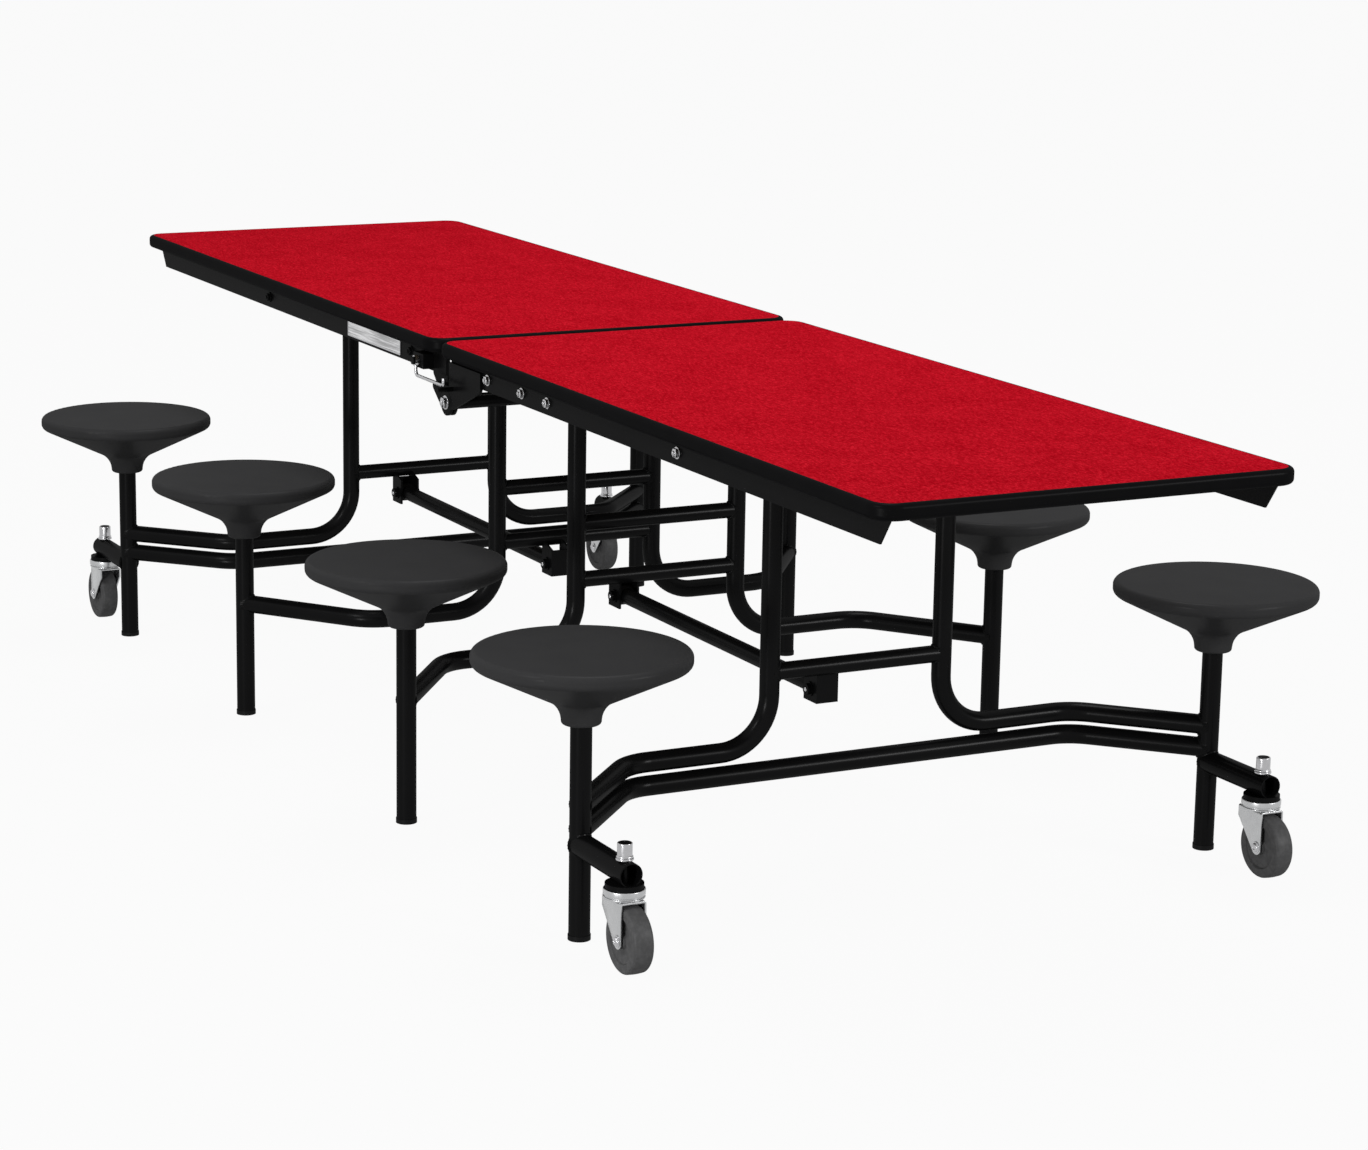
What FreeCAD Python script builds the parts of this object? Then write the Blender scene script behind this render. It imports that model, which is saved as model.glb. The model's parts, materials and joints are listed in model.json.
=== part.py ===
import FreeCAD, Part
import math
import os
import re
import Sketcher

# Mobile cafeteria table with eight fixed stools, in millimetres.
# X runs along the table, Y across it, Z up; the origin is on the floor under the centre of the table.
# Each half of the top carries an end frame and an inner frame on pivot bolts through its side rails.
# A lower link keeps both frames upright while the halves fold up about the centre hinge.

Vector = FreeCAD.Vector
doc = FreeCAD.newDocument("CafeteriaTable")
sheet = doc.addObject("Spreadsheet::Sheet", "Sizes")

SIZES = [
    # Table top
    ("table_length", 3073),
    ("table_width", 711),
    ("table_height", 737),
    ("centre_gap", 16),
    ("core_thickness", 24),
    ("laminate_thickness", 1.2),
    ("edge_width", 9),
    ("edge_round", 8),
    ("corner_radius", 38),
    # Side rails and braces under the top
    ("rail_height", 40),
    ("rail_thickness", 3),
    ("rail_flange", 28),
    ("rail_inset", 30),
    ("rail_start", 12),
    ("rail_end_inset", 20),
    ("rail_bevel", 28),
    ("brace_width", 130),
    ("brace_depth", 18),
    ("brace_tab", 34),
    ("brace_wall", 3),
    ("inner_brace_x", 356),
    ("outer_brace_x", 1240),
    ("brace_bolt_spacing", 100),
    # Centre hinge
    ("hinge_drop", 45),
    ("hinge_plate", 5),
    ("hinge_eye", 46),
    ("hinge_reach", 145),
    ("inner_hinge_reach", 75),
    ("hinge_shoulder", 30),
    ("hinge_lip", 5),
    ("hinge_tail", 75),
    ("inner_hinge_tail", 28),
    ("hinge_tail_rise", 30),
    ("hinge_corner", 8),
    ("hinge_rise", 28),
    ("hinge_bolt", 14),
    ("hinge_grip", 30),
    ("hinge_shaft", 26),
    # Bent tube frames
    ("frame_tube", 32),
    ("bar_tube", 28),
    ("post_tube", 33),
    ("tube_wall", 2),
    ("pivot_drop", 20),
    ("pivot_bolt", 12),
    ("pivot_bore_depth", 42),
    ("pivot_end_play", 2),
    ("plug_depth", 50),
    ("rail_play", 0.5),
    ("end_leg_x", 875),
    ("inner_leg_x", 167),
    ("leg_spread", 157),
    ("top_bend", 55),
    ("foot_bend", 85),
    ("arm_bend", 80),
    ("arm_height", 208),
    ("floor_tube_height", 170),
    ("arm_turn_y", 405),
    ("seat_y", 565),
    ("end_seat_x", 1045),
    ("inner_seat_x", 380),
    ("cross_bar_height", 330),
    ("tie_bar_height", 430),
    # Lower links
    ("link_height", 288),
    ("link_setback", 26),
    ("link_side", 50),
    ("link_eye", 34),
    ("link_eye_width", 30),
    ("link_plug", 25),
    ("link_bolt", 12),
    ("bracket_plate", 4),
    ("bracket_play", 0.5),
    ("bracket_skirt", 20),
    ("web_play", 1),
    ("pin_clearance", 0.05),
    ("open_pin_clearance", 0.4),
    # Stools
    ("seat_height", 445),
    ("seat_diameter", 330),
    ("seat_rim", 20),
    ("seat_rim_round", 9),
    ("seat_flare_radius", 32),
    ("seat_flare_drop", 84),
    ("seat_flare_round", 36),
    ("seat_neck_radius", 30),
    ("seat_neck_round", 5),
    ("seat_collar_drop", 112),
    ("seat_socket", 40),
    ("glide_rim", 1),
    ("glide_height", 8),
    ("glide_base", 4),
    # Casters
    ("caster_reach", 150),
    ("caster_arm_tube", 37),
    ("caster_arm_height", 148),
    ("caster_arm_end", 22),
    ("wheel_diameter", 102),
    ("wheel_width", 32),
    ("wheel_round", 9),
    ("hub_radius", 26),
    ("hub_boss_radius", 13),
    ("hub_dish", 5),
    ("caster_trail", 20),
    ("fork_plate", 3),
    ("fork_play", 2),
    ("fork_skirt", 18),
    ("crown_clearance", 5),
    ("crown_half", 31),
    ("race_radius", 31),
    ("race_height", 9),
    ("dust_cover_radius", 29),
    ("dust_cover_seat", 3),
    ("stem_diameter", 12),
    ("stem_nut", 22),
    ("stem_nut_height", 26),
    ("axle_diameter", 10),
    ("axle_boss", 24),
    ("axle_head", 15),
    ("axle_head_height", 5),
    ("swivel_play", 0.5),
    # Latch, label plate and bolt heads
    ("latch_x", 88),
    ("latch_length", 44),
    ("latch_depth", 20),
    ("latch_height", 26),
    ("latch_rise", 4),
    ("latch_reach", 122),
    ("latch_fall", 26),
    ("latch_rod", 6),
    ("latch_elbow", 9),
    ("latch_tip", 13),
    ("latch_tip_bend", 6),
    ("latch_eye", 8),
    ("latch_eye_rim", 5),
    ("latch_keeper_pin", 8),
    ("latch_keeper_gap", 1.5),
    ("latch_bolt", 8),
    ("latch_head", 14),
    ("latch_head_height", 3),
    ("latch_play", 0.5),
    ("label_x", 340),
    ("label_length", 250),
    ("label_height", 30),
    ("label_thickness", 1),
    ("bolt_head", 18),
    ("bolt_head_height", 6),
    ("washer_rim", 3),
    ("washer_thickness", 2),
    ("brace_bolt", 10),
]

# Places that follow from the driving sizes
PLACES = [
    ("half_length", "table_length / 2"),
    ("half_width", "table_width / 2"),
    ("underside", "table_height - core_thickness - laminate_thickness"),
    ("rail_bottom", "underside - rail_height"),
    ("rail_face", "half_width - rail_inset"),
    ("rail_back", "rail_face - rail_thickness"),
    ("rail_end", "half_length - rail_end_inset"),
    ("pivot_height", "underside - pivot_drop"),
    ("hinge_height", "rail_bottom - hinge_drop"),
    ("hinge_face", "rail_face + hinge_plate"),
    ("hinge_back", "rail_back - hinge_plate"),
    ("brace_top", "underside - rail_thickness"),
    ("end_link_x", "end_leg_x - link_setback"),
    ("inner_link_x", "inner_leg_x - link_setback"),
    ("bracket_half", "link_eye_width / 2 + bracket_play"),
    ("post_top", "seat_height - seat_collar_drop + seat_socket"),
    ("caster_x", "end_seat_x + caster_reach"),
    ("crown_height", "wheel_diameter + crown_clearance"),
    ("race_top", "crown_height + fork_plate + race_height"),
    ("arm_bottom", "caster_arm_height - caster_arm_tube / 2"),
    ("arm_top", "caster_arm_height + caster_arm_tube / 2"),
    ("cheek_inside", "wheel_width / 2 + fork_play"),
    ("cheek_outside", "cheek_inside + fork_plate"),
    ("latch_height_axis", "rail_bottom + latch_rise + latch_height / 2"),
    ("latch_rod_height", "latch_height_axis - latch_fall"),
    ("latch_face", "rail_face + latch_depth"),
    ("latch_rod_y", "latch_face + latch_play + latch_eye / 2"),
]

ALIASES = [alias for alias, content in SIZES + PLACES]


def linked(formula):
    """Write a formula of size names as an expression on the sheet."""
    def on_sheet(match):
        word = match.group(0)
        return "Sizes." + word if word in ALIASES else word
    return re.sub(r"[a-z]\w+", on_sheet, formula)


def fill_sheet():
    rows = [(alias, str(number)) for alias, number in SIZES]
    rows += [(alias, "=" + formula) for alias, formula in PLACES]
    for row, (alias, content) in enumerate(rows, start=1):
        cell = "B%d" % row
        sheet.set("A%d" % row, alias)
        sheet.set(cell, content)
        sheet.setAlias(cell, alias)
    doc.recompute()


def size(alias):
    return float(getattr(sheet, alias))


fill_sheet()
nodes = []

# Lengths that differ by less than this count as equal
EVEN = 0.01

TURNS = {
    "x": FreeCAD.Rotation(Vector(0, 1, 0), 90),
    "y": FreeCAD.Rotation(Vector(1, 0, 0), -90),
    "z": FreeCAD.Rotation(),
}


def bind(obj, **formulas):
    for prop, formula in formulas.items():
        obj.setExpression(prop.replace("_at_", "Placement.Base."), linked(formula))
    return obj


def box(name, length, width, height, x, y, z):
    obj = doc.addObject("Part::Box", name)
    return bind(obj, Length=length, Width=width, Height=height, _at_x=x, _at_y=y, _at_z=z)


def rod(name, radius, height, x, y, z, axis="z"):
    """A cylinder that starts at x, y, z and runs along an axis."""
    obj = doc.addObject("Part::Cylinder", name)
    obj.Placement = FreeCAD.Placement(Vector(), TURNS[axis])
    return bind(obj, Radius=radius, Height=height, _at_x=x, _at_y=y, _at_z=z)


def fuse(name, *shapes):
    obj = doc.addObject("Part::MultiFuse", name)
    obj.Shapes = list(shapes)
    obj.Refine = True
    return obj


def cut(name, base, *tools):
    for number, tool in enumerate(tools, start=1):
        obj = doc.addObject("Part::Cut", name if number == len(tools) else "%s_step%d" % (name, number))
        obj.Base = base
        obj.Tool = tool
        base = obj
    return base


def group(name, *shapes):
    obj = doc.addObject("Part::Compound", name)
    obj.Links = list(shapes)
    return obj


def mirror(name, source, across):
    obj = doc.addObject("Part::Mirroring", name)
    obj.Source = source
    obj.Normal = Vector(1, 0, 0) if across == "x" else Vector(0, 1, 0)
    return obj


def both_sides(name, near):
    """The near piece and its twin on the far side of the table."""
    return group(name, near, mirror(name + "_far", near, "y"))


def node(obj, name):
    obj.Label = name
    nodes.append(obj)
    return obj


def origin_plane(body, role):
    return [feature for feature in body.Origin.OriginFeatures if feature.Role == role][0]


def outline(body, name, plane, points):
    """A closed sketch of straight lines whose corners are bound to the sheet."""
    sketch = body.newObject("Sketcher::SketchObject", name)
    sketch.AttachmentSupport = [(origin_plane(body, plane), "")]
    sketch.MapMode = "FlatFace"
    corners = [Vector(probe(across), probe(up), 0) for across, up in points]
    count = len(corners)
    for i in range(count):
        sketch.addGeometry(Part.LineSegment(corners[i], corners[(i + 1) % count]))
    for i in range(count):
        sketch.addConstraint(Sketcher.Constraint("Coincident", i, 2, (i + 1) % count, 1))
    for i, (across, up) in enumerate(points):
        for kind, formula, start in (("DistanceX", across, corners[i].x), ("DistanceY", up, corners[i].y)):
            index = sketch.addConstraint(Sketcher.Constraint(kind, -1, 1, i, 1, start))
            sketch.setExpression("Constraints[%d]" % index, linked(formula))
    return sketch


PROBE_CELL = "D1"


def probe(formula):
    """The present value of a formula of size names."""
    sheet.set(PROBE_CELL, "=" + formula)
    sheet.recompute()
    return float(sheet.get(PROBE_CELL))


def pad(name, plane, points, depth, x="0", y="0", z="0"):
    body = doc.addObject("PartDesign::Body", name)
    feature = body.newObject("PartDesign::Pad", name + "_pad")
    feature.Profile = outline(body, name + "_outline", plane, points)
    feature.setExpression("Length", linked(depth))
    bind(body, _at_x=x, _at_y=y, _at_z=z)
    doc.recompute()
    return body


def turned(name, points):
    """A body turned about Z from a half section of radius and height."""
    body = doc.addObject("PartDesign::Body", name)
    sketch = outline(body, name + "_section", "XZ_Plane", points)
    feature = body.newObject("PartDesign::Revolution", name + "_turn")
    feature.Profile = sketch
    feature.ReferenceAxis = (sketch, ["V_Axis"])
    feature.Angle = 360
    doc.recompute()
    return body


def rounded(body, name, formula, wanted):
    """Round the edges of a body that a test picks out."""
    base = body.Tip
    picked = ["Edge%d" % (i + 1) for i, edge in enumerate(base.Shape.Edges) if wanted(edge)]
    feature = body.newObject("PartDesign::Fillet", name)
    feature.Base = (base, picked)
    feature.setExpression("Radius", linked(formula))
    doc.recompute()
    return body


def is_upright(edge):
    return edge.BoundBox.ZLength > EVEN and max(edge.BoundBox.XLength, edge.BoundBox.YLength) < EVEN


def ring_at(radius, height):
    """A test for the circular edge of a turned body at a radius and height."""
    def wanted(edge):
        bounds = edge.BoundBox
        return abs(bounds.XMax - radius) < EVEN and abs(bounds.ZMax - height) < EVEN and bounds.ZLength < EVEN
    return wanted


def centre_line(points, bends):
    """A wire of straight runs joined by tangent arcs."""
    edges = []
    last = points[0]
    for before, corner, after, bend in zip(points, points[1:], points[2:], bends):
        inward = (before - corner).normalize()
        outward = (after - corner).normalize()
        half_angle = inward.getAngle(outward) / 2
        setback = bend / math.tan(half_angle)
        middle = (inward + outward).normalize() * (bend / math.sin(half_angle) - bend)
        start = corner + inward * setback
        end = corner + outward * setback
        edges.append(Part.LineSegment(last, start).toShape())
        edges.append(Part.Arc(start, corner + middle, end).toShape())
        last = end
    edges.append(Part.LineSegment(last, points[-1]).toShape())
    return Part.Wire(edges)


def swept(path, radius):
    """A round bar along a wire."""
    first = path.Edges[0]
    section = Part.Circle(first.valueAt(first.FirstParameter), first.tangentAt(first.FirstParameter), radius)
    return path.makePipeShell([Part.Wire([section.toShape()])], True, False)


def upright(radius, x, y, height):
    return Part.makeCylinder(radius, height, Vector(x, y, 0))


def feature(name, shape):
    obj = doc.addObject("Part::Feature", name)
    obj.Shape = shape
    return obj


# Table top


def slab(name, inset, height, z, corner):
    """A rounded plate over the right half of the table, set in from its outer edge."""
    points = [
        ("centre_gap / 2 + " + inset, "-half_width + " + inset),
        ("half_length - " + inset, "-half_width + " + inset),
        ("half_length - " + inset, "half_width - " + inset),
        ("centre_gap / 2 + " + inset, "half_width - " + inset),
    ]
    body = pad(name, "XY_Plane", points, height, z=z)
    return rounded(body, name + "_corners", corner, is_upright)


def is_rim(edge):
    return edge.BoundBox.ZLength < EVEN


def make_top():
    core = slab("core", "edge_width", "core_thickness", "underside", "corner_radius - edge_width")
    laminate = slab("laminate", "edge_width", "laminate_thickness", "underside + core_thickness",
                    "corner_radius - edge_width")
    blank = slab("edge_blank", "0", "core_thickness + laminate_thickness", "underside", "corner_radius")
    rounded(blank, "edge_blank_rim", "edge_round", is_rim)
    moulding = cut("edge_moulding", blank, fuse("edge_inside", core, laminate))
    for obj, name in ((core, "table_core"), (laminate, "laminate_surface"), (moulding, "edge_moulding")):
        node(obj, "right_" + name)
        node(mirror("left_" + name, obj, "x"), "left_" + name)


# Side rails and braces


def make_rails():
    bevel_start = "rail_end - rail_bevel"
    web = pad("rail_web", "XZ_Plane", [
        ("rail_start", "rail_bottom"),
        (bevel_start, "rail_bottom"),
        ("rail_end", "underside"),
        ("rail_start", "underside"),
    ], "rail_thickness", y="-rail_back")
    flange = box("rail_flange_strip", "rail_end - rail_start - rail_bevel", "rail_flange - rail_thickness",
                 "rail_thickness", "rail_start", "-rail_back", "underside - rail_thickness")
    holes = [rod("rail_hole_%d" % i, "%s / 2" % bolt, "rail_thickness", x, "-rail_face", "pivot_height", "y")
             for i, (x, bolt) in enumerate(rail_bolt_places())]
    rail = cut("rail", fuse("rail_angle", web, flange), *holes)
    rails = node(both_sides("right_rails", rail), "right_side_rails")
    node(mirror("left_rails", rails, "x"), "left_side_rails")


def rail_bolt_places():
    """Where bolts go through a rail: the two frame pivots and the two bolts of the inner brace."""
    return [
        ("inner_leg_x", "pivot_bolt"),
        ("end_leg_x", "pivot_bolt"),
        ("inner_brace_x - brace_bolt_spacing / 2", "brace_bolt"),
        ("inner_brace_x + brace_bolt_spacing / 2", "brace_bolt"),
    ]


def make_braces():
    def brace(name, x, drilled):
        outer = box(name + "_outer", "brace_width", "2 * rail_back", "brace_depth",
                    x + " - brace_width / 2", "-rail_back", "brace_top - brace_depth")
        inner = box(name + "_inner", "brace_width - 2 * brace_wall", "2 * (rail_back - brace_wall)",
                    "brace_depth - brace_wall", x + " - brace_width / 2 + brace_wall",
                    "-rail_back + brace_wall", "brace_top - brace_depth")
        tabs = [box("%s_tab_%d" % (name, i), "brace_width", "brace_wall", "brace_tab",
                    x + " - brace_width / 2", y, "brace_top - brace_tab")
                for i, y in enumerate(("-rail_back", "rail_back - brace_wall"))]
        holes = [rod("%s_hole_%d" % (name, i), "brace_bolt / 2", "2 * rail_back",
                     "%s %s brace_bolt_spacing / 2" % (x, sign), "-rail_back", "pivot_height", "y")
                 for i, sign in enumerate("-+") if drilled]
        return cut(name, fuse(name + "_blank", cut(name + "_channel", outer, inner), *tabs), *holes)
    braces = group("right_braces", brace("inner_brace", "inner_brace_x", True),
                   brace("outer_brace", "outer_brace_x", False))
    node(braces, "right_top_braces")
    node(mirror("left_braces", braces, "x"), "left_top_braces")


# Centre hinge


def runs_across_at(x, z):
    """A test for a straight edge across the table at a place along it and a height."""
    def wanted(edge):
        bounds = edge.BoundBox
        flat = max(bounds.XLength, bounds.ZLength) < EVEN
        return flat and abs(bounds.XMax - x) < EVEN and abs(bounds.ZMax - z) < EVEN
    return wanted


def hinge_plate(name, back, side, reach, tail):
    """A hinge plate on one rail: side is + for the right half and - for the left half."""
    def at(formula):
        return formula if side == "+" else "-(%s)" % formula
    tip = (at(reach), "hinge_drop - hinge_lip")
    heel = (at("-" + tail), "hinge_tail_rise")
    plate = pad(name + "_plate", "XZ_Plane", [
        (at("-hinge_eye / 2 * cos(hinge_shoulder)"), "-hinge_eye / 2 * sin(hinge_shoulder)"),
        (at("hinge_eye / 2 * cos(hinge_shoulder)"), "-hinge_eye / 2 * sin(hinge_shoulder)"),
        tip,
        (at(reach), "hinge_drop + hinge_rise"),
        (at("rail_start"), "hinge_drop + hinge_rise"),
        (at("rail_start"), "hinge_tail_rise"),
        heel,
    ], "hinge_plate", y=back, z="hinge_height")
    for corner, (x, z) in (("tip", tip), ("heel", heel)):
        rounded(plate, "%s_%s" % (name, corner), "hinge_corner", runs_across_at(probe(x), probe(z)))
    front = back + " - hinge_plate"
    bore = "hinge_bolt / 2" if side == "+" else "hinge_bolt / 2 + pin_clearance"
    eye = rod(name + "_eye", "hinge_eye / 2", "hinge_plate", "0", front, "hinge_height", "y")
    hole = rod(name + "_hole", bore, "hinge_plate", "0", front, "hinge_height", "y")
    return cut(name, fuse(name + "_blank", plate, eye), hole)


def make_hinge():
    right = hinge_plate("right_hinge", "-rail_face", "+", "hinge_reach", "hinge_tail")
    keeper = rod("latch_keeper", "latch_keeper_pin / 2", "latch_rod_y + latch_keeper_pin - hinge_face",
                 "latch_reach - latch_x - latch_keeper_pin", "-latch_rod_y - latch_keeper_pin",
                 "latch_rod_height - (latch_rod + latch_keeper_pin) / 2 - latch_keeper_gap", "y")
    right_set = group("right_hinges", right, keeper, mirror("right_hinge_far", right, "y"))
    left = hinge_plate("left_hinge", "-hinge_back", "-", "inner_hinge_reach", "inner_hinge_tail")
    node(right_set, "right_hinge_plates")
    node(both_sides("left_hinges", left), "left_hinge_plates")


# Bolts


def bolt(name, x, z, face, bolt_size, length):
    """A bolt along Y whose washer sits on a face that looks to the near side."""
    shank = rod(name + "_shank", bolt_size + " / 2", length, x, face, z, "y")
    washer = rod(name + "_washer", "bolt_head / 2 + washer_rim", "washer_thickness", x,
                 face + " - washer_thickness", z, "y")
    head = rod(name + "_head", "bolt_head / 2", "bolt_head_height", x,
               face + " - washer_thickness - bolt_head_height", z, "y")
    return fuse(name, shank, washer, head)


def nut(name, x, z, face, bolt_size):
    ring = rod(name + "_ring", "bolt_head / 2", "bolt_head_height", x, face, z, "y")
    return cut(name, ring, rod(name + "_bore", bolt_size + " / 2", "bolt_head_height", x, face, z, "y"))


def make_bolts():
    pivots, fixings, flush_fixings = [], [], []
    for name, x in (("inner_pivot", "inner_leg_x"), ("end_pivot", "end_leg_x")):
        pivots.append(bolt(name, x, "pivot_height", "-rail_face", "pivot_bolt",
                           "rail_thickness + rail_play + pivot_bore_depth - pivot_end_play"))
    grip = "rail_thickness + brace_wall + bolt_head_height"
    for i, sign in enumerate("-+"):
        x = "inner_brace_x %s brace_bolt_spacing / 2" % sign
        name = "brace_bolt_%d" % i
        lock = nut("brace_nut_%d" % i, x, "pivot_height", "-rail_back + brace_wall", "brace_bolt")
        fixings += [bolt(name, x, "pivot_height", "-rail_face", "brace_bolt", grip), lock]
        flush = rod(name + "_flush", "brace_bolt / 2", grip, x, "-rail_face", "pivot_height", "y")
        flush_fixings += [flush, lock]
    plain_side = group("plain_side_bolts", *(pivots + fixings))
    label_side = group("label_side_bolts", *(pivots + flush_fixings))
    node(both_sides("right_bolts", plain_side), "right_rail_bolts")
    left_bolts = group("left_bolts_turned", label_side, mirror("far_bolts", plain_side, "y"))
    node(mirror("left_bolts", left_bolts, "x"), "left_rail_bolts")


def make_hinge_pins():
    """The shaft across the centre hinge and the bolt in each end of it."""
    pin = bolt("hinge_bolt_near", "0", "hinge_height", "-hinge_face", "hinge_bolt",
               "hinge_face - hinge_back + rail_play + hinge_grip")
    start = "-hinge_back + rail_play"
    bar = rod("hinge_shaft_bar", "hinge_shaft / 2", "2 * (hinge_back - rail_play)", "0", start,
              "hinge_height", "y")
    bores = [rod("hinge_shaft_bore_%d" % i, "hinge_bolt / 2", "hinge_grip", "0", y, "hinge_height", "y")
             for i, y in enumerate((start, "hinge_back - rail_play - hinge_grip"))]
    node(both_sides("hinge_bolt_pair", pin), "hinge_bolts")
    node(cut("hinge_shaft_drilled", bar, *bores), "hinge_shaft")


# Bent tube frames


def frame_shape(leg_x, seat_x):
    """The near leg of a frame: out of the rail, down, out along the arm and round to the stool post."""
    spread, height, arm = size("leg_spread"), size("pivot_height"), size("arm_height")
    start = Vector(leg_x, -size("rail_back") + size("rail_play"), height)
    post = Vector(seat_x, -size("seat_y"), arm)
    turn = Vector(leg_x, -size("arm_turn_y"), arm)
    corners = [Vector(leg_x, -spread, height), Vector(leg_x, -spread, arm), turn, post]
    bends = [size("top_bend"), size("foot_bend"), size("arm_bend")]
    outside = size("frame_tube") / 2
    plug_end = start + Vector(0, size("plug_depth"), 0)
    tube = swept(centre_line([start] + corners, bends), outside)
    hollow = swept(centre_line([plug_end] + corners, bends), outside - size("tube_wall"))
    bore = Part.makeCylinder(size("pivot_bolt") / 2 + size("pin_clearance"), size("pivot_bore_depth"),
                             start, Vector(0, 1, 0))
    return tube.cut([hollow, bore, upright(size("post_tube") / 2, seat_x, post.y, size("seat_height"))])


def floor_tube_shape():
    """The long tube of an end frame, from stool post to stool post under both arms."""
    height, leg_x, seat_x = size("floor_tube_height"), size("end_leg_x"), size("end_seat_x")
    turn_y, seat_y = size("arm_turn_y"), size("seat_y")
    points = [Vector(seat_x, -seat_y, height), Vector(leg_x, -turn_y, height),
              Vector(leg_x, turn_y, height), Vector(seat_x, seat_y, height)]
    path = centre_line(points, [size("arm_bend")] * 2)
    outside = size("frame_tube") / 2
    posts = [upright(size("post_tube") / 2, seat_x, side * seat_y, size("seat_height")) for side in (-1, 1)]
    return swept(path, outside).cut([swept(path, outside - size("tube_wall"))] + posts)


def cross_bar(name, leg_x, height):
    """A straight tube between the two legs of a frame, coped round them."""
    span = "2 * leg_spread"
    bar = rod(name + "_bar", "bar_tube / 2", span, leg_x, "-leg_spread", height, "y")
    bore = rod(name + "_bore", "bar_tube / 2 - tube_wall", span, leg_x, "-leg_spread", height, "y")
    legs = [rod("%s_leg_%d" % (name, i), "frame_tube / 2", "table_height", leg_x, y, "0")
            for i, y in enumerate(("-leg_spread", "leg_spread"))]
    return cut(name, bar, bore, *legs)


def link_bracket(name, leg_x, link_x, left, right, web_x):
    """A channel that hangs from a cross bar, with the bolt that a lower link turns on."""
    def cheek(side, y):
        return pad("%s_cheek_%s" % (name, side), "XZ_Plane", [
            (left, "link_height - bracket_skirt"),
            (right, "link_height - bracket_skirt"),
            (right, "cross_bar_height"),
            (left, "cross_bar_height - bar_tube / 2"),
        ], "bracket_plate", y=y)
    cheeks = [cheek("near", "-link_side - bracket_half"),
              cheek("far", "-link_side + bracket_half + bracket_plate")]
    web = box(name + "_web", "bracket_plate", "2 * bracket_half",
              "cross_bar_height - bar_tube / 2 - link_height + bracket_skirt",
              web_x, "-link_side - bracket_half", "link_height - bracket_skirt")
    bar = rod(name + "_seat", "bar_tube / 2", "2 * leg_spread", leg_x, "-leg_spread", "cross_bar_height", "y")
    near_face = "-link_side - bracket_half - bracket_plate"
    hole = rod(name + "_hole", "link_bolt / 2", "2 * (bracket_half + bracket_plate)", link_x, near_face,
               "link_height", "y")
    bracket = cut(name + "_body", fuse(name + "_blank", web, *cheeks), bar, hole)
    pin = bolt(name + "_pin", link_x, "link_height", near_face, "link_bolt",
               "2 * (bracket_half + bracket_plate) + bolt_head_height")
    far_face = "-link_side + bracket_half + bracket_plate"
    lock = nut(name + "_lock", link_x, "link_height", far_face, "link_bolt")
    return group(name, bracket, pin, lock)


def end_bracket():
    web_x = "end_link_x + link_eye / 2 + web_play"
    return link_bracket("end_bracket", "end_leg_x", "end_link_x", "end_link_x - bracket_skirt",
                        web_x + " + bracket_plate", web_x)


def inner_bracket():
    web_x = "inner_link_x - link_eye / 2 - web_play - bracket_plate"
    return link_bracket("inner_bracket", "inner_leg_x", "inner_link_x", web_x,
                        "inner_link_x + bracket_skirt", web_x)


def make_frame(place, leg_x, seat_x, bracket):
    frame = feature(place + "_leg", frame_shape(size(leg_x), size(seat_x)))
    pieces = {
        "legs": both_sides(place + "_legs", frame),
        "cross_bar": cross_bar(place + "_cross_bar", leg_x, "cross_bar_height"),
        "link_bracket": bracket,
        "stool_posts": both_sides(place + "_posts", stool_post(place, seat_x)),
        "stool_seats": both_sides(place + "_seats", stool_seat(place, seat_x)),
        "glides": both_sides(place + "_glides", glide(place, seat_x)),
    }
    if place == "end":
        pieces["floor_tube"] = feature("end_floor_tube", floor_tube_shape())
        pieces["caster_arms"] = both_sides("end_caster_arms", caster_arm())
    else:
        pieces["tie_bar"] = cross_bar("inner_tie_bar", leg_x, "tie_bar_height")
    for piece, obj in pieces.items():
        node(obj, "right_%s_%s" % (place, piece))
        node(mirror("left_%s_%s" % (place, piece), obj, "x"), "left_%s_%s" % (place, piece))


# Lower links


def make_links():
    """The tube between the two frames of a half, with an eye at each end."""
    start, end = "inner_link_x", "end_link_x"
    span = "end_link_x - inner_link_x"
    near = "-link_side - link_eye_width / 2"
    tube = rod("link_tube", "bar_tube / 2", span, start, "-link_side", "link_height", "x")
    bore = rod("link_bore", "bar_tube / 2 - tube_wall", span + " - 2 * link_plug", start + " + link_plug",
               "-link_side", "link_height", "x")
    eyes = [rod("link_eye_%s" % x, "link_eye / 2", "link_eye_width", x, near, "link_height", "y")
            for x in (start, end)]
    holes = [rod("link_hole_%s" % x, "link_bolt / 2 + " + play, "link_eye_width", x, near, "link_height", "y")
             for x, play in ((start, "open_pin_clearance"), (end, "pin_clearance"))]
    link = cut("link", fuse("link_blank", tube, *eyes), bore, *holes)
    node(link, "right_lower_link")
    node(mirror("left_link", link, "x"), "left_lower_link")


# Stools


def stool_post(place, seat_x):
    name = place + "_post"
    height = "post_top - glide_base"
    post = rod(name + "_tube", "post_tube / 2", height, seat_x, "-seat_y", "glide_base")
    bore = rod(name + "_bore", "post_tube / 2 - tube_wall", height, seat_x, "-seat_y", "glide_base")
    return cut(name, post, bore)


def glide(place, seat_x):
    name = place + "_glide"
    cup = rod(name + "_cup", "post_tube / 2 + glide_rim", "glide_height", seat_x, "-seat_y", "0")
    well = rod(name + "_well", "post_tube / 2", "glide_height", seat_x, "-seat_y", "glide_base")
    return cut(name, cup, well)


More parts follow.
